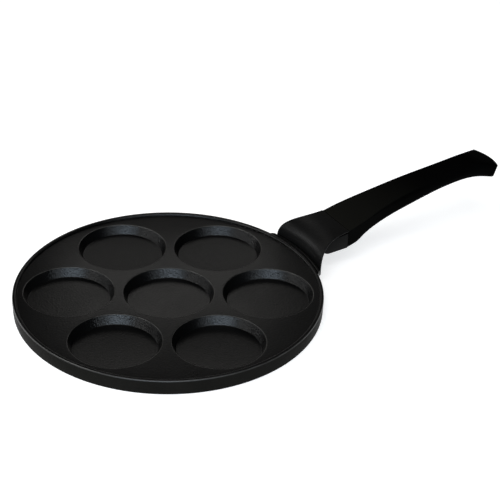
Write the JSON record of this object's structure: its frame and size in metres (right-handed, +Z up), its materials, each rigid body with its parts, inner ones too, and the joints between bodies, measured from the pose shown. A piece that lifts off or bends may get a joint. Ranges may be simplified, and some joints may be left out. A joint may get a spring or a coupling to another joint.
{
  "type": "pancake pan",
  "caption": "Round cast frying pan with shallow round wells for small pancakes, a low rim, a flared bracket and one long raised moulded handle.",
  "frame": {"origin": "centre of the pan's flat underside", "axes": "+X along the handle away from the pan, +Z up out of the wells, -Z onto the hob"},
  "size_m": [0.4666, 0.26, 0.0576],
  "materials": {
    "pan": "cast, with a dark grey satin non-stick coating",
    "collar": "dark grey moulded plastic",
    "grip": "black moulded plastic, matt",
    "fasteners": "plain zinc-plated steel"
  },
  "bodies": {
    "root": {"pan_body": "pan", "handle_collar": "collar", "handle_grip": "grip", "handle_screw": "fasteners", "handle_flat_washer": "fasteners", "handle_lock_washer": "fasteners", "tang_insert": "fasteners"}
  },
  "joints": []
}
